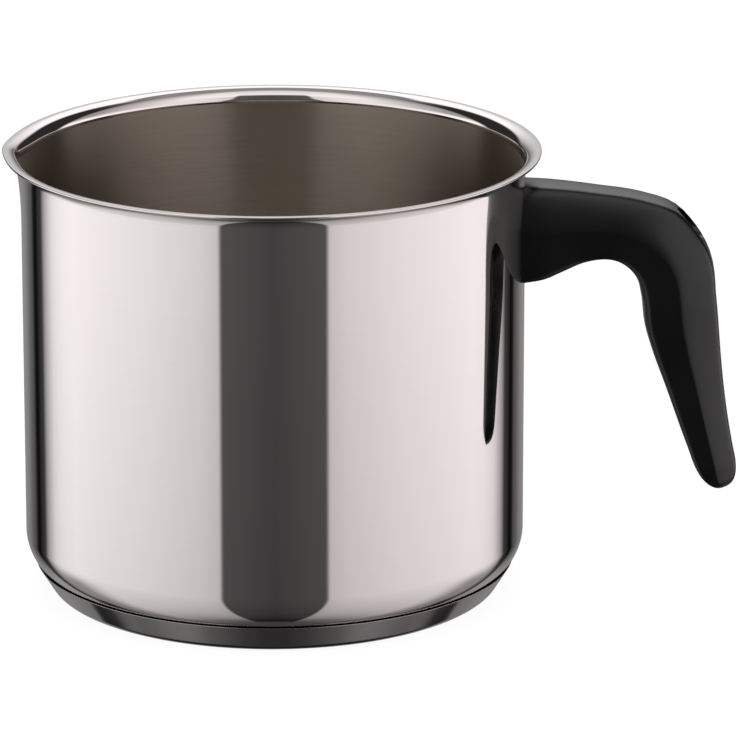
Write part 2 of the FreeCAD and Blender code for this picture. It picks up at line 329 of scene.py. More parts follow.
# Aluminium disc pressed hot between shell and capsule: pale, dull, with a drag to the rim.
PRESSED_ALUMINIUM = TurnedMetal(
    "pressed_aluminium", "#C4C5C6", "#D3D4D4", 0.34, 0.5, line=1.0, streak=15.0, cloud=10.0, relief=0.004,
)
# Bracket, nut, screw and washers of plain stainless steel, stamped or rolled and then tumbled.
TUMBLED_STEEL = PlainMetal("tumbled_stainless", "#B7B1AC", "#CBC6C1", 0.16, 0.30)
# Phenolic resin, compression moulded and buffed: a near black with a soft gloss, a skin that
# waves a little where the mould filled, and the faint flecks of its wood-flour filler.
GLOSS_PHENOLIC = Moulding("moulded_phenolic", "#060506", "#0A090A", 0.22, 0.30)


def make_piece(
    name: str, bm: bmesh.types.BMesh, finishes: Sequence[bpy.types.Material],
) -> bpy.types.Object:
    """Turn a bmesh into an object of the scene.

    Args:
        name: the piece's name.
        bm: its mesh, in metres in the frame; it is freed.
        finishes: its materials, in the order of the faces' numbers.

    Returns:
        The object, at the origin.
    """
    for face in bm.faces:
        face.smooth = True
    mesh = bpy.data.meshes.new(name)
    bm.to_mesh(mesh)
    bm.free()
    for finish in finishes:
        mesh.materials.append(finish)
    piece = bpy.data.objects.new(name, mesh)
    bpy.context.scene.collection.objects.link(piece)
    return piece


def seat(piece: bpy.types.Object, slot: Slot, *nodes: str) -> None:
    """Fix a piece to the pan in place of CAD nodes.

    Args:
        piece: the new piece.
        slot: the record's slot that its finish belongs to; not used.
        nodes: the CAD nodes that it stands for.
    """
    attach(piece, "root")
    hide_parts(*nodes)
    LOG.info("%s: %d faces in place of %s", piece.name, len(piece.data.polygons), ", ".join(nodes))


def draw_section(corners: Sequence[tuple[float, float, float, int]]) -> bmesh.types.BMesh:
    """Draw a turned piece's section in the XZ plane, with its corners rounded.

    Args:
        corners: radius, height, how far the rounding reaches from the corner, and its steps.

    Returns:
        A bmesh that holds the section as a chain of edges.
    """
    bm = bmesh.new()
    points = [bm.verts.new((radius * MM, 0.0, height * MM)) for radius, height, _, _ in corners]
    for pair in zip(points, points[1:]):
        bm.edges.new(pair)
    for point, (_, _, rounding, steps) in zip(points, corners):
        if rounding:
            bmesh.ops.bevel(
                bm, geom=[point], affect="VERTICES", offset=rounding * MM, offset_type="OFFSET",
                segments=steps, profile=0.5, material=-1, clamp_overlap=False,
            )
    return bm


def turn_section(bm: bmesh.types.BMesh) -> None:
    """Turn a section round the pan's axis into a closed skin that faces outwards.

    Args:
        bm: the section, which becomes the skin.
    """
    bmesh.ops.spin(
        bm, geom=bm.verts[:] + bm.edges[:], cent=(0, 0, 0), axis=(0, 0, 1), dvec=(0, 0, 0),
        angle=2 * math.pi, steps=TURN_STEPS, use_merge=True, use_duplicate=False,
    )
    bmesh.ops.remove_doubles(bm, verts=bm.verts[:], dist=MERGE_DISTANCE)
    bmesh.ops.recalc_face_normals(bm, faces=bm.faces[:])


def keep_walls_true(piece: bpy.types.Object) -> None:
    """Let large faces set the shading, so that roundings don't bend the reflections in plain walls.

    Args:
        piece: a piece with smooth faces.
    """
    weighting = piece.modifiers.new("true_walls", "WEIGHTED_NORMAL")
    weighting.mode = "FACE_AREA"
    weighting.weight = 100


@dataclass
class PanShell:
    """Drawn shell: floor, straight wall, curled pouring rim and pressed spout."""

    inner_radius: float = 70.0
    sheet: float = 0.7
    underside: float = 4.2
    rim_height: float = 127.2
    floor_corner: float = 12.3
    curl_radius: float = 4.0
    lip_flat: float = 1.2
    lip_round: float = 0.3
    spout_depth: float = 17.0
    spout_reach: float = 1.8
    spout_lip_reach: float = 0.7
    spout_half_width: float = 18.0
    spout_nose: float = 2.5
    spout_curl_share: float = 6 / 7
    lean_rows: int = 10
    bend_steps: int = 14
    foot_steps: int = 24
    lip_steps: int = 4
    row_margin: float = 0.1

    @property
    def outer_radius(self) -> float:
        """Radius of the wall's outside."""
        return self.inner_radius + self.sheet

    @property
    def curl_height(self) -> float:
        """Height where the wall ends and the curl starts."""
        return self.rim_height - self.curl_radius

    def section(self) -> bmesh.types.BMesh:
        """Draw the sheet's section, from the middle of the floor round the lip and back.

        Returns:
            A bmesh that holds it.
        """
        inner, outer = self.inner_radius, self.outer_radius
        lip = inner + self.curl_radius + self.lip_flat
        floor = self.underside + self.sheet
        start = self.curl_height - self.spout_depth
        under_lip = self.rim_height - self.sheet
        bm = draw_section((
            (0.0, floor, 0.0, 0),
            (inner, floor, self.floor_corner, self.bend_steps),
            (inner, start, 0.0, 0),
            (inner, self.rim_height, self.curl_radius, self.bend_steps),
            (lip, self.rim_height, self.lip_round, self.lip_steps),
            (lip, under_lip, self.lip_round, self.lip_steps),
            (outer, under_lip, self.curl_radius - self.sheet, self.bend_steps),
            (outer, start, 0.0, 0),
            (outer, self.underside, self.floor_corner + self.sheet, self.foot_steps),
            (0.0, self.underside, 0.0, 0),
        ))
        low, high = (start - self.row_margin) * MM, (self.curl_height + self.row_margin) * MM
        lean = [
            edge for edge in bm.edges
            if all(low < vert.co.z < high for vert in edge.verts)
            and edge.calc_length() > self.spout_depth / 2 * MM
        ]
        bmesh.ops.subdivide_edges(bm, edges=lean, cuts=self.lean_rows)
        return bm

    def spout_share(self, point: Vector) -> float:
        """How much of the spout's reach a point has: 1 on the keel, 0 on the plain wall.

        Args:
            point: a point of the shell, in metres.

        Returns:
            The share.
        """
        angle = math.atan2(point.y, -point.x)
        distance = math.hypot(self.inner_radius * angle, self.spout_nose) - self.spout_nose
        return max(0.0, 1.0 - distance / self.spout_half_width) ** 2

    def spout_push(self, point: Vector) -> float:
        """How far the press moves the keel outwards at a point's place in the section.

        Args:
            point: a point of the shell, in metres.

        Returns:
            The distance in millimetres.
        """
        radius, height = math.hypot(point.x, point.y) / MM, point.z / MM
        rise = (height - self.curl_height + self.spout_depth) / self.spout_depth
        if rise <= 0.0:
            return 0.0
        if rise <= 1.0:
            return self.spout_reach * rise**2
        centre = self.inner_radius + self.curl_radius
        turn = math.atan2(height - self.curl_height, max(0.0, centre - radius)) / (math.pi / 2)
        past = min(1.0, max(0.0, radius - centre) / self.lip_flat)
        share = mix(past, turn, self.spout_curl_share)
        return mix(self.spout_reach, self.spout_lip_reach, share)

    def press_spout(self, bm: bmesh.types.BMesh) -> None:
        """Push the rim outwards where it pours, opposite the handle.

        Args:
            bm: the plain shell, which gets the spout.
        """
        for vert in bm.verts:
            push = self.spout_push(vert.co) * self.spout_share(vert.co)
            if push:
                vert.co += Vector((vert.co.x, vert.co.y, 0.0)).normalized() * push * MM

    def dress(self, bm: bmesh.types.BMesh) -> None:
        """Give the inside below the curl the second finish.

        Args:
            bm: the plain shell.
        """
        middle = Vector((0.0, 0.0, self.rim_height / 2 * MM))
        for face in bm.faces:
            centre = face.calc_center_median()
            inside = face.normal.dot(middle - centre) > 0 and centre.z < self.curl_height * MM
            face.material_index = int(inside)

    def build(self) -> bpy.types.Object:
        """Make the shell.

        Returns:
            The piece.
        """
        bm = self.section()
        turn_section(bm)
        self.dress(bm)
        self.press_spout(bm)
        piece = make_piece("drawn_shell", bm, (MIRROR_STEEL.build(), SATIN_STEEL_AND_SHADE.build()))
        keep_walls_true(piece)
        seat(piece, Slot.POLISHED, "pan_body")
        return piece


@dataclass
class BaseCapsule:
    """Cup that shuts the core in under the shell's floor."""

    sheet: float = 0.6
    foot_radius: float = 62.8
    edge_radius: float = 68.0
    edge_height: float = 8.4
    foot_round: float = 4.4
    inner_round: float = 1.2
    edge_round: float = 0.15
    seam_groove: float = 0.02
    foot_steps: int = 8
    inner_steps: int = 4
    edge_steps: int = 3
    underside_slope: float = -0.98

    def build(self) -> bpy.types.Object:
        """Make the cup.

        Returns:
            The piece.
        """
        lean = math.atan2(self.edge_radius - self.foot_radius, self.edge_height)
        wall = self.sheet / math.cos(lean)
        groove_radius = self.edge_radius - wall - self.seam_groove * math.tan(lean)
        inner_foot = self.foot_radius - wall + self.sheet * math.tan(lean)
        # A rounding's reach along both lines is shorter than its radius where they meet wide.
        reach = math.tan((math.pi / 2 - lean) / 2)
        bm = draw_section((
            (0.0, 0.0, 0.0, 0),
            (self.foot_radius, 0.0, self.foot_round * reach, self.foot_steps),
            (self.edge_radius, self.edge_height, self.edge_round, self.edge_steps),
            (groove_radius, self.edge_height - self.seam_groove, 0.0, 0),
            (inner_foot, self.sheet, self.inner_round * reach, self.inner_steps),
            (0.0, self.sheet, 0.0, 0),
        ))
        turn_section(bm)
        for face in bm.faces:
            face.material_index = int(face.normal.z < self.underside_slope)
        piece = make_piece("base_cup", bm, (CAPSULE_STEEL_AND_SHADE.build(), FACED_STEEL.build()))
        keep_walls_true(piece)
        seat(piece, Slot.BASE, "base_capsule")
        return piece


@dataclass(frozen=True)
class Outline:
    """One half of the handle's outline across its length, in shares of its half sizes.

    Its sides lean in from a soft ridge at the middle line, and round off into a nearly flat
    top or bottom.
    """

    lean: float
    rounding: float
    power: float
    crown: float = 0.08
    crispness: float = 24.0
    farthest: float = 1.5
    halvings: int = 40

    def reach(self, side: float, lift: float) -> float:
        """How far out the outline is, found by halving.

        Args:
            side: sideways share of the direction, 0 to 1.
            lift: its share towards the top or the bottom, 0 to 1.

        Returns:
            The distance from the middle.
        """
        low, high = 0.0, self.farthest
        for _ in range(self.halvings):
            middle = (low + high) / 2
            y, z = middle * side, middle * lift
            flank = y + self.lean * z + self.rounding * z**self.power
            top = z + self.crown * y * y
            if flank**self.crispness + top**self.crispness > 1.0:
                high = middle
            else:
                low = middle
        return low


@dataclass
class Station:
    """One ring of the handle, square to its middle line."""

    x: float
    z: float
    heading: float
    rise: float
    fall: float
    half_width: float

    def point(self, side: float, lift: float) -> Vector:
        """A point of the ring.

        Args:
            side: share of the half width.
            lift: share of the rise, or of the fall if negative.

        Returns:
            The point, in metres.
        """
        outside = Vector((math.sin(self.heading), 0.0, math.cos(self.heading)))
        middle = Vector((self.x, side * self.half_width, self.z))
        return (middle + outside * lift * (self.rise if lift > 0 else self.fall)) * MM


def mix(first: float, last: float, share: float) -> float:
    """A value part of the way from one to another."""
    return first + (last - first) * share


def ease(share: float) -> float:
    """Go from 0 to 1, starting and ending level."""
    return (1 - math.cos(math.pi * share)) / 2


def flow(places: Sequence[float], rows: Sequence[Sequence[float]], place: float) -> list[float]:
    """Follow a smooth line through rows of values.

    Args:
        places: distances of the rows, rising.
        rows: the values at each.
        place: the distance wanted.

    Returns:
        The values there.
    """
    last = len(places) - 1
    index = min(max(sum(p <= place for p in places) - 1, 0), last - 1)
    step = places[index + 1] - places[index]
    share = (place - places[index]) / step
    rest = 1 - share
    values = []
    for column in zip(*rows):
        slopes = [(b - a) / (q - p) for a, b, p, q in zip(column, column[1:], places, places[1:])]
        ends = []
        for knot in (index, index + 1):
            before, after = slopes[max(knot - 1, 0)], slopes[min(knot, last - 1)]
            reach = places[min(knot + 1, last)] - places[max(knot - 1, 0)]
            weight = (places[knot] - places[max(knot - 1, 0)]) / reach
            ends.append(mix(before, after, weight) * step)
        values.append(
            column[index] * (1 + 2 * share) * rest**2 + column[index + 1] * share**2 * (3 - 2 * share)
            + ends[0] * share * rest**2 - ends[1] * share**2 * rest
        )
    return values


@dataclass
class Handle:
    """One moulding: a run out of the wall, an elbow, and a drooping grip with a rounded end.

    Sizes of a ring are its rise and fall from the middle line, and its half width where it is given.
    """

    wall_radius: float = 70.7
    seat_gap: float = 0.02
    height: float = 106.55
    run_length: float = 21.9
    elbow_radius: float = 21.6
    elbow_turn: float = math.radians(88.0)
    counter_radius: float = 60.0
    counter_turn: float = math.radians(11.6)
    grip_length: float = 46.0
    grip_dome: float = 8.0
    tip_kick: float = 0.5
    inner_dome: float = 12.0
    inner_taper: float = 0.7
    root: tuple[float, float, float] = (11.7, 16.25, 11.5)
    root_sink: float = 4.0
    run_arch: float = 1.6
    run_shares: tuple[float, ...] = (0.0, 0.25, 0.5, 0.75, 1.0)
    neck: tuple[float, float, float] = (9.75, 9.08, 10.2)
    elbow_shares: tuple[float, ...] = (0.25, 0.42, 0.58, 0.75, 1.0)
    elbow_sizes: Pairs = ((10.1, 9.05), (11.6, 9.4), (11.45, 9.85), (11.25, 10.45), (10.4, 10.6))
    counter_size: tuple[float, float] = (10.5, 10.4)
    grip_shares: tuple[float, ...] = (0.0, 0.3, 0.6, 1.0)
    grip_sizes: Pairs = ((10.0, 9.75), (8.3, 8.45), (7.0, 7.25), (6.1, 5.75))
    heel_half_width: float = 10.4
    tip_half_width: float = 7.6
    outer_half: Outline = Outline(lean=0.15, rounding=0.31, power=1.6)
    inner_half: Outline = Outline(lean=0.05, rounding=0.12, power=20.0)
    ring_points: int = 120
    ring_step: float = 1.8
    dome_rings: int = 10
    sharp_angle: float = math.radians(38.0)
    pocket_height: float = 12.6
    pocket_half_width: float = 6.3
    pocket_end: float = 82.7
    flange_half_width: float = 8.9
    flange_end: float = 72.22
    hole_radius: float = 2.25
    hole_steps: int = 32
    well_radius: float = 4.3
    well_steps: int = 64
    well_floor: float = 100.3
    well_lap: float = 1.0
    cutter_height: float = 60.0
    cutter_lap: float = 10.0

    def keys(self) -> Iterator[tuple[float, tuple[float, ...]]]:
        """Set the handle's shape by a few rings.

        Yields:
            A ring's distance along the middle line, and its values as a station.
        """
        x, z, turn = self.wall_radius + self.run_length, self.height - self.elbow_radius, self.elbow_turn
        for share in self.run_shares:
            shares = share**self.run_arch, ease(share), ease(share)
            sizes = [mix(a, b, s) for a, b, s in zip(self.root, self.neck, shares)]
            yield share * self.run_length, (x - (1 - share) * self.run_length, self.height, 0.0, *sizes)
        for share, sizes in zip(self.elbow_shares, self.elbow_sizes):
            angle = share * turn
            place = x + self.elbow_radius * math.sin(angle), z + self.elbow_radius * math.cos(angle)
            half_width = mix(self.neck[2], self.heel_half_width, share)
            yield self.run_length + self.elbow_radius * angle, (*place, angle, *sizes, half_width)
        start = self.run_length + self.elbow_radius * turn
        pivot = self.elbow_radius + self.counter_radius
        x, z = x + pivot * math.sin(turn), z + pivot * math.cos(turn)
        bend = self.counter_radius * self.counter_turn
        whole = bend + self.grip_length
        heading = turn - self.counter_turn
        body = self.grip_length - self.grip_dome
        places = bend / 2, *(bend + body * share for share in self.grip_shares), whole
        for distance, sizes in zip(places, (self.counter_size, *self.grip_sizes, self.grip_sizes[-1])):
            angle = max(heading, turn - distance / self.counter_radius)
            past = max(0.0, distance - bend)
            place = (
                x - self.counter_radius * math.sin(angle) + past * math.cos(angle),
                z - self.counter_radius * math.cos(angle) - past * math.sin(angle),
            )
            half_width = mix(self.heel_half_width, self.tip_half_width, distance / whole)
            yield start + distance, (*place, angle, *sizes, half_width)

    def stations(self) -> list[Station]:
        """Rings close together along the handle, from inside the wall to just before the tip.

        Returns:
            The rings.
        """
        places, rows = zip(*self.keys())
        dome_start = places[-1] - self.grip_dome
        count = round(dome_start / self.ring_step)
        steps = [dome_start * i / count for i in range(count)]
        steps += [
            dome_start + self.grip_dome * math.sin(math.pi / 2 * i / self.dome_rings)
            for i in range(self.dome_rings)
        ]
        stations = [Station(self.wall_radius - self.root_sink, *rows[0][1:])]
        for step in steps:
            x, z, heading, rise, fall, half_width = flow(places, rows, step)
            past = max(0.0, step - dome_start) / self.grip_dome
            kick = self.tip_kick * past**2
            x, z = x + kick * math.sin(heading), z + kick * math.cos(heading)
            scale = math.sqrt(1 - past**2)
            inner_past = max(0.0, 1 - (places[-1] - step) / self.inner_dome)
            fall *= (1 - inner_past**2)**self.inner_taper
            stations.append(Station(x, z, heading, rise * scale, fall, half_width * scale))
        return stations

    def loft(self) -> bmesh.types.BMesh:
        """Draw a ring out along the stations and close both ends.

        Returns:
            A bmesh that holds the solid moulding.
        """
        stations = self.stations()
        bm = bmesh.new()
        shares = bm.verts.layers.float_vector.new("shares")
        bmesh.ops.create_circle(bm, cap_ends=True, segments=self.ring_points, radius=1.0)
        for vert in bm.verts:
            half = self.outer_half if vert.co.y > 0 else self.inner_half
            vert[shares] = vert.co * half.reach(abs(vert.co.x), abs(vert.co.y))
        ring_verts, ring_edges = bm.verts[:], bm.edges[:]
        for index, station in enumerate(stations):
            if index:
                made = bmesh.ops.extrude_edge_only(bm, edges=ring_edges)["geom"]
                ring_verts = [g for g in made if isinstance(g, bmesh.types.BMVert)]
                fresh = set(ring_verts)
                ring_edges = [
                    g for g in made
                    if isinstance(g, bmesh.types.BMEdge) and fresh.issuperset(g.verts)
                ]
            for vert in ring_verts:
                vert.co = station.point(*vert[shares].xy)
        last = stations[-1]
        overhang = self.grip_dome * (1 - math.sin(math.pi / 2 * (self.dome_rings - 1) / self.dome_rings))
        end = bmesh.ops.extrude_edge_only(bm, edges=ring_edges)["geom"]
        end_verts = [g for g in end if isinstance(g, bmesh.types.BMVert)]
        along = Vector((math.cos(last.heading), 0.0, -math.sin(last.heading)))
        peak = (Vector((last.x, 0.0, last.z)) + along * overhang) * MM
        bmesh.ops.pointmerge(bm, verts=end_verts, merge_co=peak)
        bm.verts.layers.float_vector.remove(shares)
        bmesh.ops.recalc_face_normals(bm, faces=bm.faces[:])
        return bm

    def cutters(self) -> Iterator[bmesh.types.BMesh]:
        """Make the shapes that are taken out of the moulding.

        Yields:
            The wall, the two steps of the bracket's pocket, the screw's hole and its well.
        """
        quarter = Matrix.Rotation(math.pi / 2, 4, "Y")
        wall = (self.wall_radius + self.seat_gap) * MM
        mouth = self.wall_radius + self.run_length + 2 * self.elbow_radius
        column = bmesh.new()
        bmesh.ops.create_cone(
            column, cap_ends=True, segments=TURN_STEPS, radius1=wall, radius2=wall,
            depth=self.cutter_height * MM, matrix=Matrix.Translation((0.0, 0.0, self.height * MM)),
        )
        yield column
        for end, half_width in (
            (self.flange_end, self.flange_half_width), (self.pocket_end, self.pocket_half_width),
        ):
            start = self.wall_radius - self.cutter_lap
            block = bmesh.new()
            size = Matrix.Diagonal(((end - start) * MM, 2 * half_width * MM, self.pocket_height * MM, 1.0))
            centre = Matrix.Translation(((start + end) / 2 * MM, 0.0, self.height * MM))
            bmesh.ops.create_cube(block, size=1.0, matrix=centre @ size)
            yield block
        for start, end, radius, steps in (
            (self.wall_radius, self.well_floor + self.well_lap, self.hole_radius, self.hole_steps),
            (self.well_floor, mouth, self.well_radius, self.well_steps),
        ):
            rod = bmesh.new()
            centre = Matrix.Translation(((start + end) / 2 * MM, 0.0, self.height * MM))
            bmesh.ops.create_cone(
                rod, cap_ends=True, segments=steps, radius1=radius * MM, radius2=radius * MM,
                depth=(end - start) * MM, matrix=centre @ quarter,
            )
            yield rod

    def carve(self, piece: bpy.types.Object) -> None:
        """Take the cutters out of the moulding and keep only the result.

        Args:
            piece: the solid moulding, whose mesh is replaced.
        """
        for bm in self.cutters():
            cutter = make_piece("cutter", bm, ())
            cut = piece.modifiers.new("cut", "BOOLEAN")
            cut.operation = "DIFFERENCE"
            cut.solver = "EXACT"
            cut.object = cutter
            graph = bpy.context.evaluated_depsgraph_get()
            carved = bpy.data.meshes.new_from_object(piece.evaluated_get(graph))
            piece.modifiers.clear()
            solid, piece.data = piece.data, carved
            bpy.data.meshes.remove(solid)
            bpy.data.meshes.remove(cutter.data)

    def build(self) -> bpy.types.Object:
        """Make the moulding.

        Returns:
            The piece.
        """
        piece = make_piece("handle_moulding", self.loft(), (GLOSS_PHENOLIC.build(),))
        self.carve(piece)
        piece.data.set_sharp_from_angle(angle=self.sharp_angle)
        seat(piece, Slot.PHENOLIC, "handle")
        return piece


@dataclass
class HiddenFittings:
    """CAD pieces that keep their shape: the core in the base and the fittings in the handle."""

    core: tuple[str, ...] = ("heat_spreader",)
    fittings: tuple[str, ...] = (
        "handle_bracket", "bracket_nut", "handle_screw", "flat_washer", "spring_washer",
    )

    def build(self) -> None:
        """Give each of these pieces its own metal."""
        for names, finish in ((self.core, PRESSED_ALUMINIUM), (self.fittings, TUMBLED_STEEL)):
            metal = finish.build()
            for name in names:
                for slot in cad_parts[name].material_slots:
                    slot.material = metal
                LOG.info("%s: %s", name, metal.name)


@dataclass(frozen=True)
class Fade:
    """A level that goes from one value to another while a measure goes between two ends."""

    start: float
    end: float
    before: float = 0.0
    after: float = 1.0

    def along(self, measure: Any) -> dict[str, Any]:
        """Sockets of a node that follows a measure.

        Args:
            measure: the node or output to follow.

        Returns:
            The sockets' names and what they hold.
        """
        return {
            "Value": measure, "From Min": self.start, "From Max": self.end,
            "To Min": self.before, "To Max": self.after,
        }


@dataclass(frozen=True)
class Profile:
    """Levels of light along a scale of degrees, as pairs in rising order."""

    pairs: Pairs

    @property
    def span(self) -> Fade:
        """The whole scale, from 0 to 1."""
        return Fade(self.pairs[0][0], self.pairs[-1][0])

    @property
    def stops(self) -> list[tuple[float, Colour]]:
        """Places on that scale and their colours."""
        low, high = self.span.start, self.span.end
        return [((degrees - low) / (high - low), grey(level)) for degrees, level in self.pairs]


@dataclass
class LightTent:
    """Soft studio light: two wide side cards and a roof round the pan, with gaps between them.

    Cards are seen in the steel, so the places of their edges are headings, counted in degrees
    from the camera's side round either way, and heights in degrees above the table.
    """

    turn: float = CAMERA_TURN
    # Side cards, by heading: a dark panel ahead, a wide card and a dark gap before the back.
    ring: Profile = Profile((
        (0.0, 0.066), (23.6, 0.1), (25.4, 0.73), (34.0, 0.845), (60.0, 1.0), (90.0, 1.12),
        (104.0, 1.18), (112.0, 1.13), (117.0, 1.06), (121.5, 0.94), (124.7, 0.73), (128.2, 0.49),
        (130.5, 0.29), (131.7, 0.12), (132.8, 0.055), (136.5, 0.03), (139.0, 0.005), (142.3, 0.01),
        (143.6, 0.045), (145.0, 0.085), (150.5, 0.15), (157.0, 0.25), (165.0, 0.285), (180.0, 0.28),
    ))
    lean: Fade = Fade(0.0, 20.0, 0.0, 5.5)
    # Table, by height, and the cards' light on it, by heading.
    table: Profile = Profile((
        (-90.0, 0.06), (-80.0, 0.09), (-73.0, 0.19), (-69.0, 0.32), (-62.0, 0.47), (-53.5, 0.6),
        (-45.0, 0.68), (-37.0, 0.75), (-30.0, 0.8), (-25.0, 0.84), (-18.7, 0.89), (-18.1, 0.935),
        (-15.5, 1.06), (-10.0, 1.1), (-4.0, 1.2), (0.0, 1.2),
    ))
    table_ring: Profile = Profile((
        (0.0, 0.066), (23.6, 0.1), (25.4, 0.73), (34.0, 0.845), (60.0, 1.0), (90.0, 1.12),
        (97.0, 1.0), (104.0, 0.8), (112.0, 0.52), (118.0, 0.43), (128.0, 0.43), (133.0, 0.2),
        (135.5, 0.07), (139.0, 0.07), (141.5, 0.46), (180.0, 0.46),
    ))
    table_edge: Fade = Fade(-20.0, -34.0)
    nadir: Fade = Fade(-74.0, -80.0, 0.0, 0.06)
    shade_side: Fade = Fade(122.0, 134.0)
    shade_top: Fade = Fade(-43.0, -50.0, 1.0, 0.15)
    # Roof, which starts higher over the panel, and the dimmer wings of roof and cards.
    roof: Fade = Fade(40.0, 90.0, 1.28, 0.85)
    eaves: Fade = Fade(33.0, 43.0)
    panel: Fade = Fade(23.6, 25.4, -8.0, 0.0)
    wing: Profile = Profile(((0.0, 1.0), (45.0, 1.0), (70.0, 0.6), (95.0, 0.3), (180.0, 0.3)))
    wing_foot: Fade = Fade(8.0, 20.0)
    # Dark gap behind the cards' leaning rear edge, and the backdrop in it.
    gap: Fade = Fade(44.0, 68.0, 0.03, 0.35)
    gap_foot: Fade = Fade(-10.0, 0.0)
    rear_edge: Fade = Fade(0.40, 0.52)
    rear_lean: float = 0.5
    backdrop: Fade = Fade(2.0, 30.0, 0.12, 1.42)
    backdrop_side: Fade = Fade(0.52, 0.40)
    backdrop_foot: Fade = Fade(-16.0, -8.0)
    backdrop_top: Fade = Fade(60.0, 54.0)
    backdrop_front: Fade = Fade(0.0, 0.1)
    right_tint: str = "#FFFAFB"
    right_side: float = 0.6
    floor_size: float = 40.0
    floor_drop: float = 0.1
    floor_shade: float = 0.15
    floor_glow: float = 0.93

    def level(
        self, tree: bpy.types.NodeTree, way: bpy.types.Node, axes: bpy.types.NodeOutputs,
    ) -> bpy.types.Node:
        """Work out how bright the tent is in each direction.

        Args:
            tree: the world's tree.
            way: the direction, turned so that the camera stands at -Y.
            axes: its three parts.

        Returns:
            The node that gives the level.
        """
        front = add_node(tree, "Math", {0: axes["Y"], 1: -1.0}, operation="MULTIPLY")
        turn = add_node(tree, "Math", {0: axes["X"], 1: front}, operation="ARCTAN2")
        side = add_node(tree, "Math", {0: turn}, operation="ABSOLUTE")
        heading = add_node(tree, "Math", {0: side}, operation="DEGREES")
        rise = add_node(tree, "Math", {0: axes["Z"]}, operation="ARCSINE")
        height = add_node(tree, "Math", {0: rise}, operation="DEGREES")
        lean = add_node(tree, "MapRange", self.lean.along(height), **SOFT)
        leaned = add_node(tree, "Math", {0: heading, 1: lean})
        ring, table_ring, table, wing = (
            add_node(
                tree, "ValToRGB",
                {"Fac": add_node(tree, "MapRange", profile.span.along(measure))}, profile.stops,
            )
            for profile, measure in (
                (self.ring, leaned), (self.table_ring, heading), (self.table, height), (self.wing, heading),
            )
        )
        # Side cards and the table under them, with a shaded patch towards the back.
        table_edge = add_node(tree, "MapRange", self.table_edge.along(height), **SOFT)
        cards = add_node(tree, "Mix", {"Factor": table_edge, "A": ring, "B": table_ring})
        shade_side = add_node(tree, "MapRange", self.shade_side.along(heading), **SOFT)
        shade_top = add_node(tree, "MapRange", self.shade_top.along(height), **SOFT)
        shade = add_node(tree, "Mix", {"Factor": shade_side, "A": 1.0, "B": shade_top})
        lit = add_node(tree, "Math", {0: cards, 1: table}, operation="MULTIPLY")
        shaded = add_node(tree, "Math", {0: lit, 1: shade}, operation="MULTIPLY")
        nadir = add_node(tree, "MapRange", self.nadir.along(height), **SOFT)
        lower = add_node(tree, "Math", {0: shaded, 1: nadir}, operation="MAXIMUM")
        # Roof over the pan, and the wings.
        roof = add_node(tree, "MapRange", self.roof.along(height))
        panel = add_node(tree, "MapRange", self.panel.along(leaned), **SOFT)
        under_roof = add_node(tree, "Math", {0: height, 1: panel})
        eaves = add_node(tree, "MapRange", self.eaves.along(under_roof), **SOFT)
        covered = add_node(tree, "Mix", {"Factor": eaves, "A": lower, "B": roof})
        wing_foot = add_node(tree, "MapRange", self.wing_foot.along(height), **SOFT)
        wings = add_node(tree, "Mix", {"Factor": wing_foot, "A": 1.0, "B": wing})
        ahead = add_node(tree, "Math", {0: covered, 1: wings}, operation="MULTIPLY")
        # Dark gap between the cards' leaning rear edge and the backdrop.
        gap = add_node(tree, "MapRange", self.gap.along(height), **SOFT)
        gap_foot = add_node(tree, "MapRange", self.gap_foot.along(height), **SOFT)
        rear = add_node(tree, "Mix", {"Factor": gap_foot, "A": lower, "B": gap})
        depth = add_node(
            tree, "VectorMath", {0: way, 1: (0.0, 1.0, self.rear_lean)}, operation="DOT_PRODUCT",
        )
        rear_edge = add_node(tree, "MapRange", self.rear_edge.along(depth), **SOFT)
        tent = add_node(tree, "Mix", {"Factor": rear_edge, "A": ahead, "B": rear})
        # White backdrop behind the pan: what the camera sees as white, the steel shows as white too.
        across = add_node(tree, "Math", {0: axes["X"]}, operation="ABSOLUTE")
        inside: Any = 1.0
        for fade, measure in (
            (self.backdrop_side, across), (self.backdrop_foot, height),
            (self.backdrop_top, height), (self.backdrop_front, axes["Y"]),
        ):
            edge = add_node(tree, "MapRange", fade.along(measure), **SOFT)
            inside = add_node(tree, "Math", {0: inside, 1: edge}, operation="MULTIPLY")
        backdrop = add_node(tree, "MapRange", self.backdrop.along(height))
        return add_node(tree, "Mix", {"Factor": inside, "A": tent, "B": backdrop})

    def light(self) -> None:
        """Make the world: white to the camera, and the tent to everything else."""
        world = bpy.data.worlds.new("light_tent")
        world.use_nodes = True
        bpy.context.scene.world = world
        tree = world.node_tree
        tree.nodes.clear()
        place = add_node(tree, "TexCoord").outputs["Generated"]
        way = add_node(tree, "VectorRotate", {"Vector": place, "Angle": -self.turn}, rotation_type="Z_AXIS")
        axes = add_node(tree, "SeparateXYZ", {0: way}).outputs
        tints = (0.0, grey(1.0)), (self.right_side, linear(self.right_tint))
        tint = add_node(tree, "ValToRGB", {"Fac": axes["X"]}, tints)
        tent = add_node(tree, "Background", {"Color": tint, "Strength": self.level(tree, way, axes)})
        white = add_node(tree, "Background", {"Color": grey(1.0), "Strength": 1.0})
        rays = add_node(tree, "LightPath").outputs
        seen = add_node(
            tree, "Math", {0: rays["Is Camera Ray"], 1: rays["Is Transmission Ray"]}, operation="MAXIMUM",
        )
        shown = add_node(tree, "MixShader", {0: seen, 1: tent, 2: white})
        add_node(tree, "OutputWorld", {"Surface": shown})

    def floor(self) -> bpy.types.Object:
        """Lay the pale table top. Only the camera sees it, so that the steel shows the tent.

        Returns:
            The floor.
        """
        material = bpy.data.materials.new("pale_table")
        material.use_nodes = True
        tree = material.node_tree
        tree.nodes.clear()
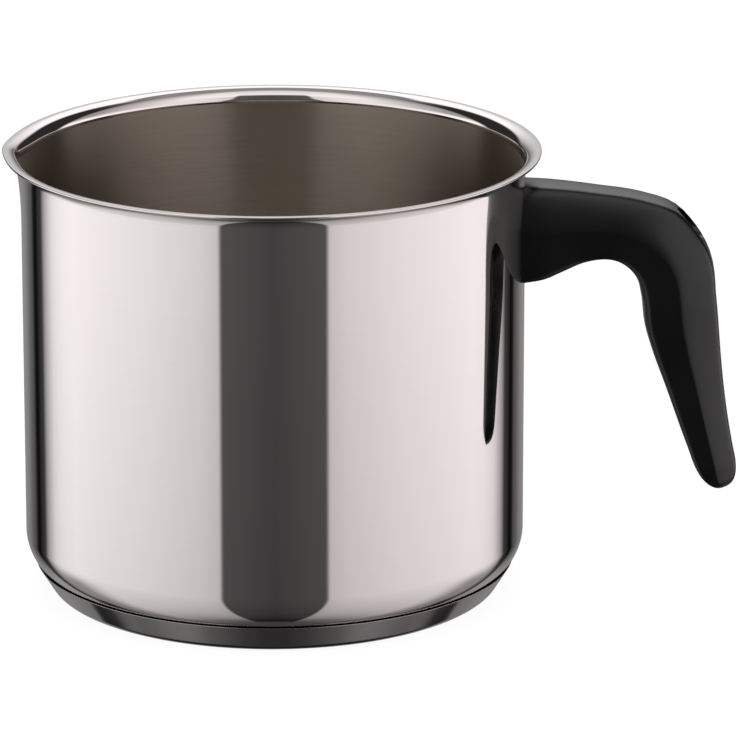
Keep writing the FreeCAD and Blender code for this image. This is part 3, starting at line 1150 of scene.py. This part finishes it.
        # White paper: a faint matt part that takes the pan's shadow, over a glow that keeps it
        # nearly white to the camera. It is clear from below, so that the underside can be seen.
        matt = add_node(tree, "BsdfDiffuse", {"Color": grey(self.floor_shade)})
        glow = add_node(tree, "Emission", {"Color": grey(1.0), "Strength": self.floor_glow})
        paper = add_node(tree, "AddShader", {0: matt, 1: glow})
        clear = add_node(tree, "BsdfTransparent")
        under = add_node(tree, "NewGeometry").outputs["Backfacing"]
        shown = add_node(tree, "MixShader", {0: under, 1: paper, 2: clear})
        add_node(tree, "OutputMaterial", {"Surface": shown})
        bm = bmesh.new()
        drop = Matrix.Translation((0.0, 0.0, -self.floor_drop * MM))
        bmesh.ops.create_grid(bm, x_segments=1, y_segments=1, size=self.floor_size / 2, matrix=drop)
        floor = make_piece("table_top", bm, (material,))
        for ray in ("diffuse", "glossy", "transmission", "volume_scatter", "shadow"):
            setattr(floor, f"visible_{ray}", False)
        floor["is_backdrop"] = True
        return floor

    def build(self) -> None:
        """Set up the light and the floor."""
        self.light()
        self.floor()


@dataclass
class Viewpoint:
    """The photograph's camera: a long lens above the table, turned a little towards the handle's side.

    The target is a point of the pan's axis, and it falls on the target pixel of the photograph.
    """

    distance: float = 1.7
    turn: float = CAMERA_TURN
    elevation: float = math.radians(16.518)
    target_height: float = 0.060
    focal_pixels: float = 6003.85
    frame_pixels: float = 736.0
    target_pixel: tuple[float, float] = (274.0, 377.95)
    sensor: float = 36.0
    nearest: float = 0.1
    farthest: float = 100.0

    def build(self) -> bpy.types.Object:
        """Set up the camera.

        Returns:
            The camera.
        """
        round_pan = Matrix.Rotation(self.turn, 3, "Z")
        ahead = round_pan @ Vector((0.0, math.cos(self.elevation), -math.sin(self.elevation)))
        up = round_pan @ Vector((0.0, math.sin(self.elevation), math.cos(self.elevation)))
        right = round_pan @ Vector((1.0, 0.0, 0.0))
        middle = self.frame_pixels / 2
        aside = (middle - self.target_pixel[0]) / self.focal_pixels
        above = (self.target_pixel[1] - middle) / self.focal_pixels
        lens = bpy.data.cameras.new("photo_lens")
        lens.sensor_width = self.sensor
        lens.lens = self.focal_pixels / self.frame_pixels * self.sensor
        lens.clip_start = self.nearest
        lens.clip_end = self.farthest
        camera = bpy.data.objects.new("photo_camera", lens)
        camera.location = Vector((0.0, 0.0, self.target_height)) - ahead * self.distance
        aim = ahead + right * aside + up * above
        camera.rotation_euler = aim.to_track_quat("-Z", "Y").to_euler()
        bpy.context.scene.collection.objects.link(camera)
        bpy.context.scene.camera = camera
        return camera


def write_sizes() -> None:
    """Measure the CAD model's box and the visual model's box; the pair is built but not kept."""
    boxes = {"cad": CAD_BOX, "visual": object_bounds()}
    {name: [list(corner) for corner in box] for name, box in boxes.items()}


def main() -> None:
    """Build the pan, the light and the camera."""
    logging.basicConfig(level=logging.INFO, format="%(name)s: %(message)s")
    bpy.context.scene.view_settings.view_transform = "Standard"
    Viewpoint().build()
    LightTent().build()
    PanShell().build()
    BaseCapsule().build()
    Handle().build()
    HiddenFittings().build()
    write_sizes()


if __name__ == "__main__":
    main()
